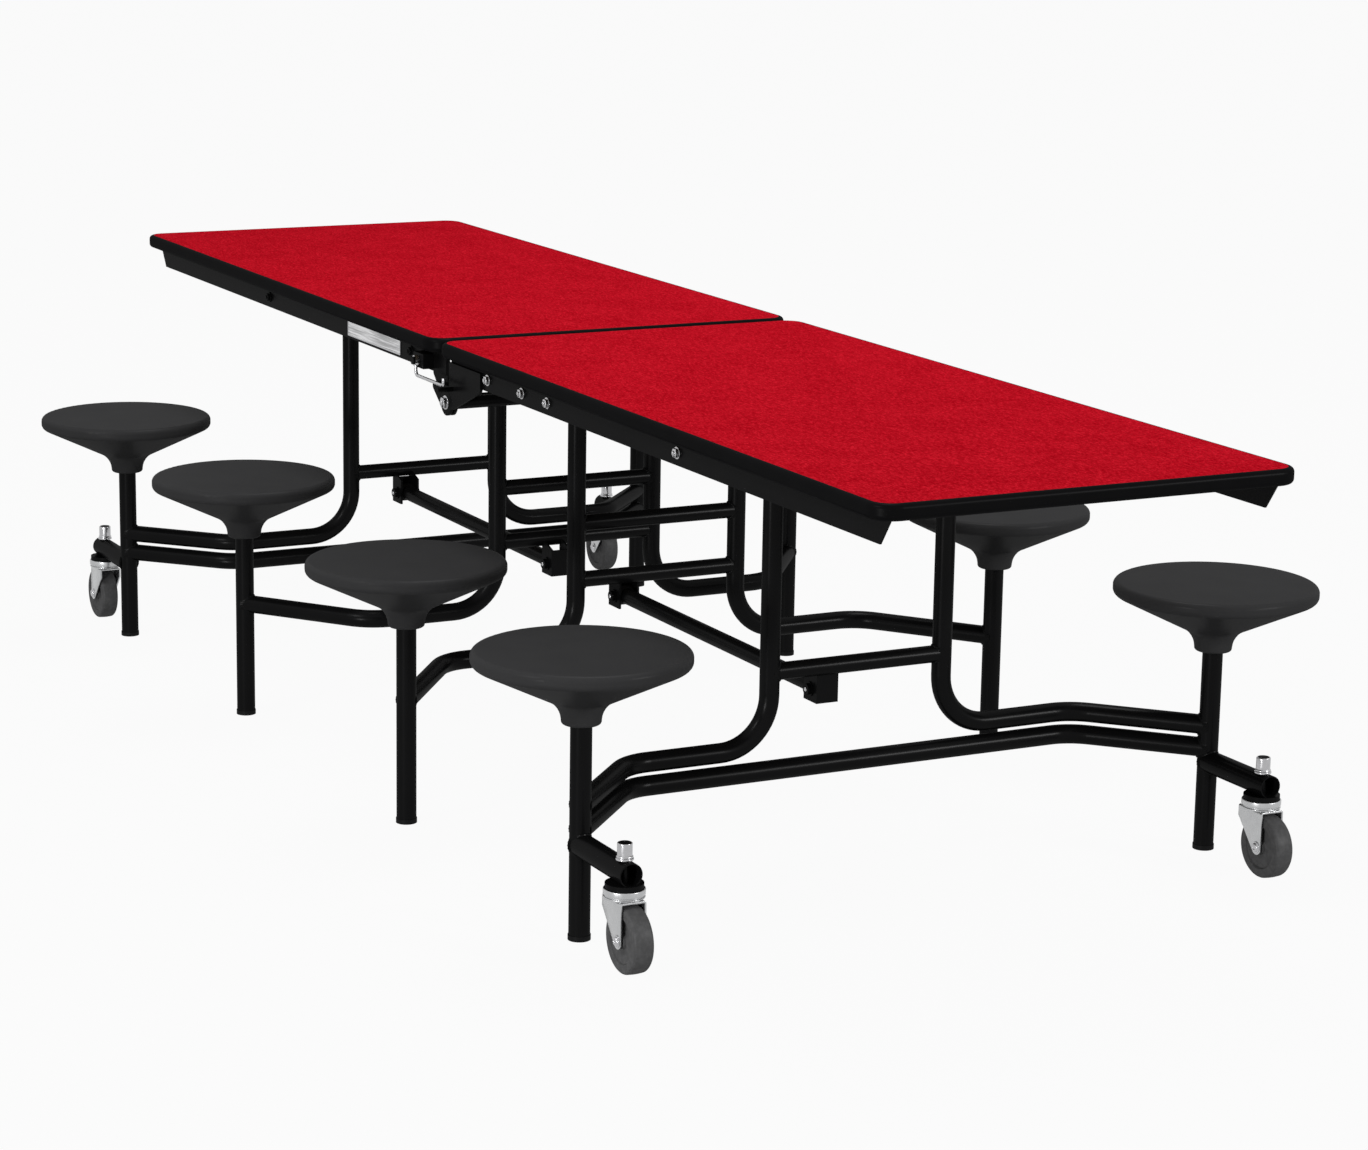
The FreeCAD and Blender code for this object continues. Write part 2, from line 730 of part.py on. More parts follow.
def stool_seat(place, seat_x):
    """A moulded seat: a thin rounded disc that sweeps in to a neck with a socket for the post."""
    name = place + "_seat"
    radius, top = size("seat_diameter") / 2, size("seat_height")
    seat = turned(name, [
        ("0", "post_top"),
        ("post_tube / 2", "post_top"),
        ("post_tube / 2", "seat_height - seat_collar_drop"),
        ("seat_neck_radius", "seat_height - seat_collar_drop"),
        ("seat_flare_radius", "seat_height - seat_flare_drop"),
        ("seat_diameter / 2", "seat_height - seat_rim"),
        ("seat_diameter / 2", "seat_height"),
        ("0", "seat_height"),
    ])
    rounded(seat, name + "_flare", "seat_flare_round",
            ring_at(size("seat_flare_radius"), top - size("seat_flare_drop")))
    rounded(seat, name + "_neck", "seat_neck_round",
            ring_at(size("seat_neck_radius"), top - size("seat_collar_drop")))
    rounded(seat, name + "_rim", "seat_rim_round", ring_at(radius, top))
    rounded(seat, name + "_lip", "seat_rim_round", ring_at(radius, top - size("seat_rim")))
    return bind(seat, _at_x=seat_x, _at_y="-seat_y")


# Casters


def caster_arm():
    """A short open tube out from an end post, drilled for a caster's stem, with a dust cover under it."""
    length = "caster_reach + caster_arm_end"
    place = ("end_seat_x", "-seat_y", "caster_arm_height", "x")
    tube = rod("arm_tube", "caster_arm_tube / 2", length, *place)
    bore = rod("arm_bore", "caster_arm_tube / 2 - tube_wall", length, *place)
    post = rod("arm_post", "post_tube / 2", "table_height", "end_seat_x", "-seat_y", "0")
    stem = rod("arm_stem_hole", "stem_diameter / 2 + pin_clearance", "table_height", "caster_x", "-seat_y",
               "0")
    cover = rod("cover_disc", "dust_cover_radius", "arm_bottom - race_top - swivel_play + dust_cover_seat",
                "caster_x", "-seat_y", "race_top + swivel_play")
    saddle = rod("cover_saddle", "caster_arm_tube / 2", length, *place)
    return group("caster_arm", cut("arm_drilled", tube, bore, post, stem),
                 cut("dust_cover", cover, saddle, stem))


def make_fork():
    cheek_points = [
        ("caster_trail - axle_boss / 2", "wheel_diameter / 2"),
        ("caster_trail + axle_boss / 2", "wheel_diameter / 2"),
        ("crown_half", "crown_height - fork_skirt"),
        ("crown_half", "crown_height + fork_plate"),
        ("-crown_half", "crown_height + fork_plate"),
        ("-crown_half", "crown_height - fork_skirt"),
    ]
    pieces = []
    for side, back in (("near", "-seat_y - cheek_inside"), ("far", "-seat_y + cheek_outside")):
        pieces.append(pad("fork_cheek_" + side, "XZ_Plane", cheek_points, "fork_plate", x="caster_x", y=back))
        pieces.append(rod("fork_boss_" + side, "axle_boss / 2", "fork_plate", "caster_x + caster_trail",
                          back + " - fork_plate", "wheel_diameter / 2", "y"))
    pieces.append(box("fork_crown", "2 * crown_half", "2 * cheek_outside", "fork_plate",
                      "caster_x - crown_half", "-seat_y - cheek_outside", "crown_height"))
    pieces.append(rod("fork_race", "race_radius", "race_height", "caster_x", "-seat_y",
                      "crown_height + fork_plate"))
    pieces.append(rod("fork_stem", "stem_diameter / 2", "arm_top + stem_nut_height - crown_height",
                      "caster_x", "-seat_y", "crown_height"))
    pieces.append(rod("fork_nut", "stem_nut / 2", "stem_nut_height", "caster_x", "-seat_y",
                      "arm_top + swivel_play"))
    axle_end = "-seat_y - cheek_outside - axle_head_height"
    axle_place = ("caster_x + caster_trail", axle_end, "wheel_diameter / 2", "y")
    axle_length = "2 * (cheek_outside + axle_head_height)"
    hole = rod("fork_axle_hole", "axle_diameter / 2", axle_length, *axle_place)
    fork = cut("fork", fuse("fork_blank", *pieces), hole)
    pin = rod("axle_pin", "axle_diameter / 2", axle_length, *axle_place)
    heads = [rod("axle_head_%d" % i, "axle_head / 2", "axle_head_height", "caster_x + caster_trail", y,
                 "wheel_diameter / 2", "y")
             for i, y in enumerate((axle_end, "-seat_y + cheek_outside"))]
    return group("caster_fork", fork, fuse("axle", pin, *heads))


def make_wheel():
    """A turned wheel with a rounded tread and dished hub faces, laid on its axle."""
    half = "wheel_width / 2"
    bore = "axle_diameter / 2 + pin_clearance"
    radius, width = size("wheel_diameter") / 2, size("wheel_width") / 2
    wheel = turned("wheel", [
        (bore, "-" + half),
        ("hub_boss_radius", "-" + half),
        ("hub_boss_radius", "-%s + hub_dish" % half),
        ("hub_radius", "-%s + hub_dish" % half),
        ("hub_radius + hub_dish", "-" + half),
        ("wheel_diameter / 2", "-" + half),
        ("wheel_diameter / 2", half),
        ("hub_radius + hub_dish", half),
        ("hub_radius", half + " - hub_dish"),
        ("hub_boss_radius", half + " - hub_dish"),
        ("hub_boss_radius", half),
        (bore, half),
    ])
    for name, height in (("tread_low", -width), ("tread_high", width)):
        rounded(wheel, "wheel_" + name, "wheel_round", ring_at(radius, height))
    wheel.Placement = FreeCAD.Placement(Vector(), TURNS["y"])
    return bind(wheel, _at_x="caster_x + caster_trail", _at_y="-seat_y", _at_z="wheel_diameter / 2")


def make_casters():
    for piece, near in (("fork", make_fork()), ("wheel", make_wheel())):
        far = mirror("right_far_" + piece, near, "y")
        node(near, "near_right_caster_" + piece)
        node(far, "far_right_caster_" + piece)
        node(mirror("near_left_" + piece, near, "x"), "near_left_caster_" + piece)
        node(mirror("far_left_" + piece, far, "x"), "far_left_caster_" + piece)


# Latch and label plate


def make_latch():
    block = box("latch_body", "latch_length", "latch_depth", "latch_height", "-latch_x - latch_length / 2",
                "-latch_face", "rail_bottom + latch_rise")
    bore = rod("latch_bore", "latch_bolt / 2", "latch_depth", "-latch_x", "-latch_face",
               "latch_height_axis", "y")
    pin = rod("latch_pin", "latch_bolt / 2", "latch_depth + latch_eye + 2 * latch_play", "-latch_x",
              "-latch_face - latch_eye - 2 * latch_play", "latch_height_axis", "y")
    head = rod("latch_pin_head", "latch_head / 2", "latch_head_height", "-latch_x",
               "-latch_face - latch_eye - 2 * latch_play - latch_head_height", "latch_height_axis", "y")
    drilled = cut("latch_body_drilled", block, bore)
    node(group("latch_set", drilled, fuse("latch_bolt_piece", pin, head)), "latch_block")
    node(feature("latch_hook_rod", latch_hook_shape()), "latch_hook")


def latch_hook_shape():
    """A bent rod with an eye: down from its pivot, along over its keeper and turned up at the tip."""
    x, y, z = -size("latch_x"), -size("latch_rod_y"), size("latch_height_axis")
    thick, fall, reach = size("latch_rod"), size("latch_fall"), size("latch_reach")
    points = [Vector(x, y, z), Vector(x, y, z - fall), Vector(x + reach, y, z - fall),
              Vector(x + reach, y, z - fall + size("latch_tip"))]
    arm = swept(centre_line(points, [size("latch_elbow"), size("latch_tip_bend")]), thick / 2)
    width = size("latch_eye")
    bore = size("latch_bolt") / 2 + size("pin_clearance")
    face = Vector(x, y - width / 2, z)
    eye = Part.makeCylinder(bore + size("latch_eye_rim"), width, face, Vector(0, 1, 0))
    hole = Part.makeCylinder(bore, width, face, Vector(0, 1, 0))
    return arm.fuse(eye).cut(hole).removeSplitter()


def make_label():
    plate = box("label", "label_length", "label_thickness", "label_height", "-label_x - label_length / 2",
                "-rail_face - label_thickness", "pivot_height - label_height / 2")
    node(plate, "label_plate")


make_top()
make_rails()
make_braces()
make_hinge()
make_bolts()
make_hinge_pins()
make_frame("end", "end_leg_x", "end_seat_x", end_bracket())
make_frame("inner", "inner_leg_x", "inner_seat_x", inner_bracket())
make_links()
make_casters()
make_latch()
make_label()
doc.recompute()

for obj in doc.Objects:
    if "Invalid" in obj.State or "Error" in obj.State:
        raise RuntimeError("%s failed to build" % obj.Name)
os.makedirs("parts", exist_ok=True)
for obj in nodes:
    if obj.Shape.isNull() or not obj.Shape.isValid() or not obj.Shape.Solids:
        raise RuntimeError("%s has no valid shape" % obj.Label)
for obj in nodes:
    obj.Shape.exportStep("parts/%s.step" % obj.Label)
print("%d nodes" % len(nodes))
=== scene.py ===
"""Looks of a folding cafeteria table: finishes, welds, bolts, casters, light and camera."""

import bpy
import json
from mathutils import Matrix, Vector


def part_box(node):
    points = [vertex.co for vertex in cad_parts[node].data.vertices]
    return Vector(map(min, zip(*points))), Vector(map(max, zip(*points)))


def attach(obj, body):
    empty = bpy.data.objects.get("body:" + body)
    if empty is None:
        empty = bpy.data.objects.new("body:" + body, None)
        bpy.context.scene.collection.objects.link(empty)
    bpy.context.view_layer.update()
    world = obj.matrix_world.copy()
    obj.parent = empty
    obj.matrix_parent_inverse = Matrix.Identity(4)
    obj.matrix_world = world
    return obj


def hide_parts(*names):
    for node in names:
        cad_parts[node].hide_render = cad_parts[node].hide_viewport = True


bl_info = {
    "name": "Cafeteria Table Looks",
    "version": (1, 0, 0),
    "blender": (4, 5, 0),
    "location": "View3D > Sidebar > Table",
    "description": "Finishes, small pieces and stage of a folding cafeteria table with stools",
    "category": "Object",
}

import json
import math

import bmesh
import bpy
from mathutils import Matrix, Vector

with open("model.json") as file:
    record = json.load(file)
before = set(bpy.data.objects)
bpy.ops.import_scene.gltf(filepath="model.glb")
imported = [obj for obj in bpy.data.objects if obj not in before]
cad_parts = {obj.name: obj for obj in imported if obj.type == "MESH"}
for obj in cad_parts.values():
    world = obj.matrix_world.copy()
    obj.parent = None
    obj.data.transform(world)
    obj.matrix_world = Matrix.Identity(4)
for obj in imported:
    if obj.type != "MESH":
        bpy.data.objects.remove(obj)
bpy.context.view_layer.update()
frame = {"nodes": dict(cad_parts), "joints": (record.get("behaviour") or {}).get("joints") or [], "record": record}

MM = 0.001
JOINTS = {joint["name"]: joint for joint in frame["joints"]}
SIDES = (("right", 1), ("left", -1))
ROWS = (("near", -1), ("far", 1))


def joint_place(name):
    return Vector(JOINTS[name]["pos_m"])


# Sizes and colours


class TableColours(bpy.types.PropertyGroup):
    laminate: bpy.props.FloatVectorProperty(
        name="Laminate", description="Main colour of the table top",
        subtype="COLOR", size=3, min=0, max=1, default=(0.51, 0.0007, 0.009))
    laminate_speck: bpy.props.FloatVectorProperty(
        name="Laminate speck", description="Lighter colour of the grain in the laminate",
        subtype="COLOR", size=3, min=0, max=1, default=(0.74, 0.013, 0.03))
    coat: bpy.props.FloatVectorProperty(
        name="Powder coat", description="Colour of the tubes, rails and plates",
        subtype="COLOR", size=3, min=0, max=1, default=(0.0042, 0.0042, 0.0044))
    edge: bpy.props.FloatVectorProperty(
        name="Edge", description="Colour of the edge moulding",
        subtype="COLOR", size=3, min=0, max=1, default=(0.0035, 0.0035, 0.0038))
    seat: bpy.props.FloatVectorProperty(
        name="Seat", description="Colour of the moulded stools",
        subtype="COLOR", size=3, min=0, max=1, default=(0.037, 0.037, 0.038))
    wheel: bpy.props.FloatVectorProperty(
        name="Wheel", description="Colour of the caster wheels",
        subtype="COLOR", size=3, min=0, max=1, default=(0.09, 0.09, 0.0915))
    plating: bpy.props.FloatVectorProperty(
        name="Plating", description="Colour of the plated steel",
        subtype="COLOR", size=3, min=0, max=1, default=(0.46, 0.46, 0.47))
    label: bpy.props.FloatVectorProperty(
        name="Label plate", description="Colour of the bare plate on the rail",
        subtype="COLOR", size=3, min=0, max=1, default=(0.76, 0.76, 0.77))
    fork: bpy.props.FloatVectorProperty(
        name="Fork", description="Colour of the steel of the caster forks",
        subtype="COLOR", size=3, min=0, max=1, default=(0.45, 0.455, 0.46))
    board: bpy.props.FloatVectorProperty(
        name="Board", description="Colour of the raw core board",
        subtype="COLOR", size=3, min=0, max=1, default=(0.42, 0.31, 0.20))


class TableSizes(bpy.types.PropertyGroup):
    grain: bpy.props.FloatProperty(
        name="Laminate grain", description="Width of one grain of the laminate",
        unit="LENGTH", min=0.5 * MM, default=5 * MM)
    weld: bpy.props.FloatProperty(
        name="Weld bead", description="Radius of a weld bead",
        unit="LENGTH", min=0.5 * MM, default=2.4 * MM)
    bolt_head: bpy.props.FloatProperty(
        name="Bolt head", description="Width across the corners of a rail bolt's head",
        unit="LENGTH", min=2 * MM, default=15.5 * MM)
    washer: bpy.props.FloatProperty(
        name="Washer", description="Diameter of the washer under a rail bolt's head",
        unit="LENGTH", min=2 * MM, default=19.5 * MM)
    hinge_bolt_head: bpy.props.FloatProperty(
        name="Hinge bolt head", description="Width across the corners of a hinge bolt's head",
        unit="LENGTH", min=2 * MM, default=20.5 * MM)
    hinge_washer: bpy.props.FloatProperty(
        name="Hinge washer", description="Diameter of the washer under a hinge bolt's head",
        unit="LENGTH", min=2 * MM, default=25 * MM)
    fork_plate: bpy.props.FloatProperty(
        name="Fork plate", description="Thickness of the sheet of a caster fork",
        unit="LENGTH", min=0.5 * MM, default=3 * MM)
    fork_bend: bpy.props.FloatProperty(
        name="Fork bend", description="How far the bend between crown and cheek reaches",
        unit="LENGTH", min=0.5 * MM, default=3.5 * MM)
    screw_spacing: bpy.props.FloatProperty(
        name="Screw spacing", description="Distance between the screws that hold the top to a rail",
        unit="LENGTH", min=20 * MM, default=210 * MM)


def colours():
    return bpy.context.scene.table_colours


def sizes():
    return bpy.context.scene.table_sizes


# Finishes


NOISE_SPAN = (0.3, 0.7)
EVEN = (1, 1, 1)


class Value:
    """A shader socket that can be used in sums."""

    def __init__(self, nodes, socket):
        self.nodes = nodes
        self.socket = socket

    def _sum(self, operation, other):
        return self.nodes.node("Math", {"operation": operation}, {0: self, 1: other})

    def __add__(self, other):
        return self._sum("ADD", other)

    def __mul__(self, other):
        return self._sum("MULTIPLY", other)

    def __or__(self, other):
        return self._sum("MAXIMUM", other)

    __radd__ = __add__
    __rmul__ = __mul__
    __ror__ = __or__


class Nodes:
    """A tree of shader nodes."""

    def __init__(self, tree):
        self.tree = tree

    def feed(self, socket, value):
        if isinstance(value, Value):
            self.tree.links.new(value.socket, socket)
        else:
            socket.default_value = value

    def node(self, kind, settings, values, output=0):
        made = self.tree.nodes.new("ShaderNode" + kind)
        for name, setting in settings.items():
            setattr(made, name, setting)
        for name, value in values.items():
            self.feed(made.inputs[name], value)
        return Value(self, made.outputs[output])

    def in_view(self):
        """1 for the rays that show the background: straight to the camera, mirrored or let through."""
        camera, glossy, through = (self.node("LightPath", {}, {}, "Is %s Ray" % kind)
                                   for kind in ("Camera", "Glossy", "Transmission"))
        return camera | glossy | through


class Finish(Nodes):
    """A material built from nodes."""

    def __init__(self, name, constants):
        self.material = bpy.data.materials.new(name)
        self.material.use_nodes = True
        super().__init__(self.material.node_tree)
        self.shader = self.tree.nodes["Principled BSDF"]
        for socket, value in constants.items():
            self.feed(self.shader.inputs[socket], value)

    def noise(self, grain, detail=2.0, roughness=0.5, stretch=EVEN):
        """Noise whose patches are about one grain across, or longer where it is stretched."""
        place = self.node("TexCoord", {}, {}, "Object")
        if stretch != EVEN:
            place = self.node("Mapping", {}, {"Vector": place, "Scale": stretch})
        return self.node("TexNoise", {}, {
            "Vector": place, "Scale": 1 / grain, "Detail": detail, "Roughness": roughness}, "Fac")

    def cells(self, grain, feature="F1"):
        """Cells about one grain across, as the distance from their middles."""
        place = self.node("TexCoord", {}, {}, "Object")
        return self.node("TexVoronoi", {"feature": feature}, {
            "Vector": place, "Scale": 1 / grain}, "Distance")

    def ramp(self, value, low, high, start=0.0, end=1.0):
        """Stretch the span from low to high over start to end."""
        return self.node("MapRange", {"interpolation_type": "SMOOTHSTEP"}, {
            "Value": value, "From Min": low, "From Max": high, "To Min": start, "To Max": end}, "Result")

    def between(self, noise, start, end):
        """Carry the usual span of a noise over to start and end."""
        return self.ramp(noise, *NOISE_SPAN, start, end)

    def mix(self, mask, first, second):
        return self.node("Mix", {"data_type": "RGBA"}, {0: mask, 6: (*first, 1.0), 7: (*second, 1.0)}, 2)

    def tones(self, mask, colour, dark, light):
        """Vary a colour between a darker and a lighter tone."""
        return self.mix(mask, shade(colour, dark), shade(colour, light))

    def bump(self, height, depth, strength):
        """Let a height from 0 to 1 stand depth metres proud."""
        normal = self.node("Bump", {}, {"Height": height, "Distance": depth, "Strength": strength})
        self.feed(self.shader.inputs["Normal"], normal)

    def surface(self, colour, roughness):
        self.feed(self.shader.inputs["Base Color"], colour)
        self.feed(self.shader.inputs["Roughness"], roughness)
        return self.material


def shade(colour, factor):
    """A lighter or darker tone of a colour."""
    return tuple(min(1.0, channel * factor) for channel in colour)


def sheen(weight, roughness):
    """The gloss of a plastic or painted surface, which stays low at a flat angle."""
    return {"Specular IOR Level": 0.0, "Coat Weight": weight, "Coat Roughness": roughness}


METAL = {"Metallic": 1.0}
LAMINATE_RUN = (0.4, 1, 1)
SPECKS_PER_GRAIN = 1.7
SPECK_SHARE, WORM_SHARE, CLOUD_SHARE = 0.55, 0.40, 0.12
SPECK_RISE, WORM_RISE = 0.6, 0.4
SCUFF_RUN, DRAWN_RUN, BRUSH_RUN, CHIP_RUN = (1, 1, 4), (1, 1, 0.12), (0.03, 1, 1), (0.45, 1, 1)


def laminate_finish():
    finish = Finish("red_laminate", sheen(weight=0.012, roughness=0.4))
    grain = sizes().grain
    crinkle = finish.noise(grain, detail=3.0, roughness=0.62, stretch=LAMINATE_RUN)
    worms = finish.ramp(crinkle, 0.44, 0.52) * finish.ramp(crinkle, 0.60, 0.52)
    fine = finish.noise(grain / SPECKS_PER_GRAIN, roughness=0.6, stretch=LAMINATE_RUN)
    speck = finish.ramp(fine, 0.45, 0.70)
    cloud = finish.between(finish.noise(90 * MM), start=0.0, end=1.0)
    mask = speck * SPECK_SHARE + worms * WORM_SHARE + cloud * CLOUD_SHARE
    finish.bump(speck * SPECK_RISE + worms * WORM_RISE, depth=0.12 * MM, strength=0.6)
    colour = finish.mix(mask, shade(colours().laminate, 0.72), colours().laminate_speck)
    return finish.surface(colour, finish.ramp(speck, 0.0, 1.0, start=0.52, end=0.40))


def edge_finish():
    finish = Finish("black_edge_vinyl", sheen(weight=0.05, roughness=0.36))
    finish.bump(finish.cells(1.1 * MM), depth=0.06 * MM, strength=0.5)
    tone = finish.noise(40 * MM)
    colour = finish.tones(tone, colours().edge, dark=0.85, light=1.3)
    return finish.surface(colour, finish.between(tone, start=0.50, end=0.60))


def coat_finish():
    finish = Finish("black_powder_coat", sheen(weight=0.1, roughness=0.27))
    finish.bump(finish.noise(1.6 * MM, detail=1.5), depth=0.05 * MM, strength=0.55)
    cloud = finish.noise(60 * MM, detail=3.0)
    colour = finish.tones(cloud, colours().coat, dark=0.8, light=1.35)
    return finish.surface(colour, finish.between(cloud, start=0.30, end=0.40))


def seat_finish():
    finish = Finish("moulded_seat_plastic", sheen(weight=0.06, roughness=0.32))
    finish.bump(finish.cells(1.4 * MM, "SMOOTH_F1"), depth=0.09 * MM, strength=0.5)
    cloud = finish.noise(70 * MM, detail=3.0)
    colour = finish.tones(cloud, colours().seat, dark=0.92, light=1.1)
    return finish.surface(colour, finish.between(cloud, start=0.50, end=0.58))


def glide_finish():
    finish = Finish("glide_plastic", sheen(weight=0.15, roughness=0.4))
    scuff = finish.noise(3 * MM, detail=4.0, roughness=0.7, stretch=SCUFF_RUN)
    finish.bump(scuff, depth=0.06 * MM, strength=0.5)
    colour = finish.tones(finish.ramp(scuff, 0.55, 0.75), colours().coat, dark=1.3, light=3.0)
    return finish.surface(colour, finish.between(scuff, start=0.5, end=0.65))


def zinc_finish():
    finish = Finish("bright_zinc", METAL)
    finish.bump(finish.noise(1.2 * MM), depth=0.03 * MM, strength=0.4)
    flow = finish.noise(6 * MM, detail=3.0)
    colour = finish.tones(flow, colours().plating, dark=0.86, light=1.04)
    return finish.surface(colour, finish.between(flow, start=0.16, end=0.26))


def fork_finish():
    finish = Finish("plated_fork", METAL)
    drawn = finish.noise(2.2 * MM, detail=3.0, roughness=0.6, stretch=DRAWN_RUN)
    finish.bump(drawn, depth=0.008 * MM, strength=0.3)
    colour = finish.tones(finish.noise(14 * MM), colours().fork, dark=0.92, light=1.08)
    return finish.surface(colour, finish.between(drawn, start=0.26, end=0.34))


def wheel_finish():
    finish = Finish("grey_wheel", sheen(weight=0.15, roughness=0.4))
    finish.bump(finish.noise(0.9 * MM), depth=0.05 * MM, strength=0.45)
    dust = finish.noise(9 * MM, detail=4.0, roughness=0.6)
    colour = finish.tones(finish.ramp(dust, 0.35, 0.7), colours().wheel, dark=0.9, light=1.18)
    return finish.surface(colour, finish.between(dust, start=0.5, end=0.62))


def plate_finish():
    finish = Finish("brushed_plate", METAL)
    lines = finish.noise(3.4 * MM, detail=3.0, roughness=0.6, stretch=BRUSH_RUN)
    finish.bump(lines, depth=0.015 * MM, strength=0.4)
    colour = finish.tones(finish.ramp(lines, 0.38, 0.62), colours().label, dark=0.45, light=1.0)
    return finish.surface(colour, finish.between(lines, start=0.34, end=0.48))


def board_finish():
    finish = Finish("core_board", {"Specular IOR Level": 0.2})
    finish.bump(finish.cells(3.5 * MM), depth=0.12 * MM, strength=0.5)
    chips = finish.noise(5 * MM, detail=4.0, roughness=0.65, stretch=CHIP_RUN)
    colour = finish.tones(finish.ramp(chips, 0.35, 0.68), colours().board, dark=0.7, light=1.25)
    return finish.surface(colour, finish.between(chips, start=0.75, end=0.88))


FINISHES = {
    "laminate": laminate_finish,
    "core": board_finish,
    "edge": edge_finish,
    "frame": coat_finish,
    "seat": seat_finish,
    "zinc": zinc_finish,
    "fork": fork_finish,
    "wheel": wheel_finish,
    "glide": glide_finish,
    "plate": plate_finish,
}
materials = {}


class TABLE_OT_finishes(bpy.types.Operator):
    """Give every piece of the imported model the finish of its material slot"""

    bl_idname = "table.finishes"
    bl_label = "Finishes"

    def execute(self, context):
        for slot, make in FINISHES.items():
            materials[slot] = make()
        for subpart in frame["record"]["subparts"]:
            mesh = frame["nodes"][subpart["node"]].data
            mesh.materials.clear()
            mesh.materials.append(materials[subpart["material_slot"]])
        return {"FINISHED"}


# Building


SHARP = math.radians(35)
MERGE = 0.001 * MM
ROUND_STEPS = 4
ROUND_PROFILE = 0.5


def turned(profile, steps=48, closed=False):
    """Turn a half section of radius, height and an optional round, in millimetres, about Z."""
    bm = bmesh.new()
    corners = [bm.verts.new((radius * MM, 0, height * MM)) for radius, height, *_ in profile]
    pairs = list(zip(corners, corners[1:]))
    if closed:
        pairs.append((corners[-1], corners[0]))
    for pair in pairs:
        bm.edges.new(pair)
    for corner, (_, _, *reach) in zip(corners, profile):
        if reach:
            bmesh.ops.bevel(bm, geom=[corner], offset=reach[0] * MM, offset_type="OFFSET",
                            segments=ROUND_STEPS, profile=ROUND_PROFILE, affect="VERTICES", material=-1)
    bmesh.ops.spin(bm, geom=bm.verts[:] + bm.edges[:], axis=(0, 0, 1), cent=(0, 0, 0), angle=2 * math.pi,
                   steps=steps, use_merge=True)
    return closed_up(bm)


def closed_up(bm):
    bmesh.ops.remove_doubles(bm, verts=bm.verts[:], dist=MERGE)
    bmesh.ops.recalc_face_normals(bm, faces=bm.faces[:])
    return bm


def add(whole, part, place):
    """Put a copy of a part into a mesh at a place."""
    copy = part.copy()
    bmesh.ops.transform(copy, matrix=place, verts=copy.verts[:])
    bmesh.ops.recalc_face_normals(copy, faces=copy.faces[:])
    passing = bpy.data.meshes.new("passing")
    copy.to_mesh(passing)
    copy.free()
    whole.from_mesh(passing)
    bpy.data.meshes.remove(passing)


def facing(place, way):
    """The turn and shift that stand a part up along a direction."""
    return Matrix.Translation(place) @ Vector(way).to_track_quat("Z", "Y").to_matrix().to_4x4()


def finished(name, bm, body, slot, replaced=()):
    """Make a mesh into a piece that rides on a body, with the finish of a material slot."""
    mesh = bpy.data.meshes.new(name)
    bm.to_mesh(mesh)
    bm.free()
    mesh.shade_smooth()
    mesh.set_sharp_from_angle(angle=SHARP)
    mesh.materials.append(materials[slot])
    obj = bpy.data.objects.new(name, mesh)
    bpy.context.scene.collection.objects.link(obj)
    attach(obj, body)
    if replaced:
        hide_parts(*replaced)


# Welds


LEG_X = {"end": 875, "inner": 167}
POST_X = {"end": 1045, "inner": 380}
LEG_Y, TURN_Y, POST_Y = 157, 405, 565
LEG_RADIUS, BAR_RADIUS, POST_RADIUS, CASTER_ARM_RADIUS = 16, 14, 16.5, 18.5
CROSS_BAR_Z, TIE_BAR_Z = 330, 430
ARM_Z, FLOOR_TUBE_Z, CASTER_ARM_Z = 208, 170, 148
WELD_RIPPLES, WELD_RIPPLE_SHARE = 26, 0.14
WELD_STEPS, WELD_SIDES = 78, 8


def weld(tube, post):
    """A rippled bead round the end of a tube along Z where it meets a post along Y through the origin."""
    bm = bmesh.new()
    turn = Matrix.Translation((tube * MM, 0, 0)) @ Matrix.Rotation(math.pi / 2, 4, "X")
    bmesh.ops.create_circle(bm, segments=WELD_SIDES, radius=sizes().weld, matrix=turn)
    bmesh.ops.spin(bm, geom=bm.verts[:] + bm.edges[:], axis=(0, 0, 1), cent=(0, 0, 0), angle=2 * math.pi,
                   steps=WELD_STEPS, use_merge=True)
    for vert in bm.verts:
        around = math.atan2(vert.co.y, vert.co.x)
        middle = Vector((math.cos(around), math.sin(around), 0)) * tube * MM
        swell = 1 + WELD_RIPPLE_SHARE * math.cos(WELD_RIPPLES * around)
        vert.co = middle + (vert.co - middle) * swell
        side = min(abs(vert.co.x), post * MM)
        vert.co.z += math.sqrt((post * MM) ** 2 - side ** 2)
    return closed_up(bm)


def reaching(place, way):
    """The turn and shift that point a level tube's Z along a direction, with Y up."""
    along = Vector(way).normalized()
    up = Vector((0, 0, 1))
    turn = Matrix((up.cross(along), up, along)).transposed().to_4x4()
    return Matrix.Translation(Vector(place) * MM) @ turn


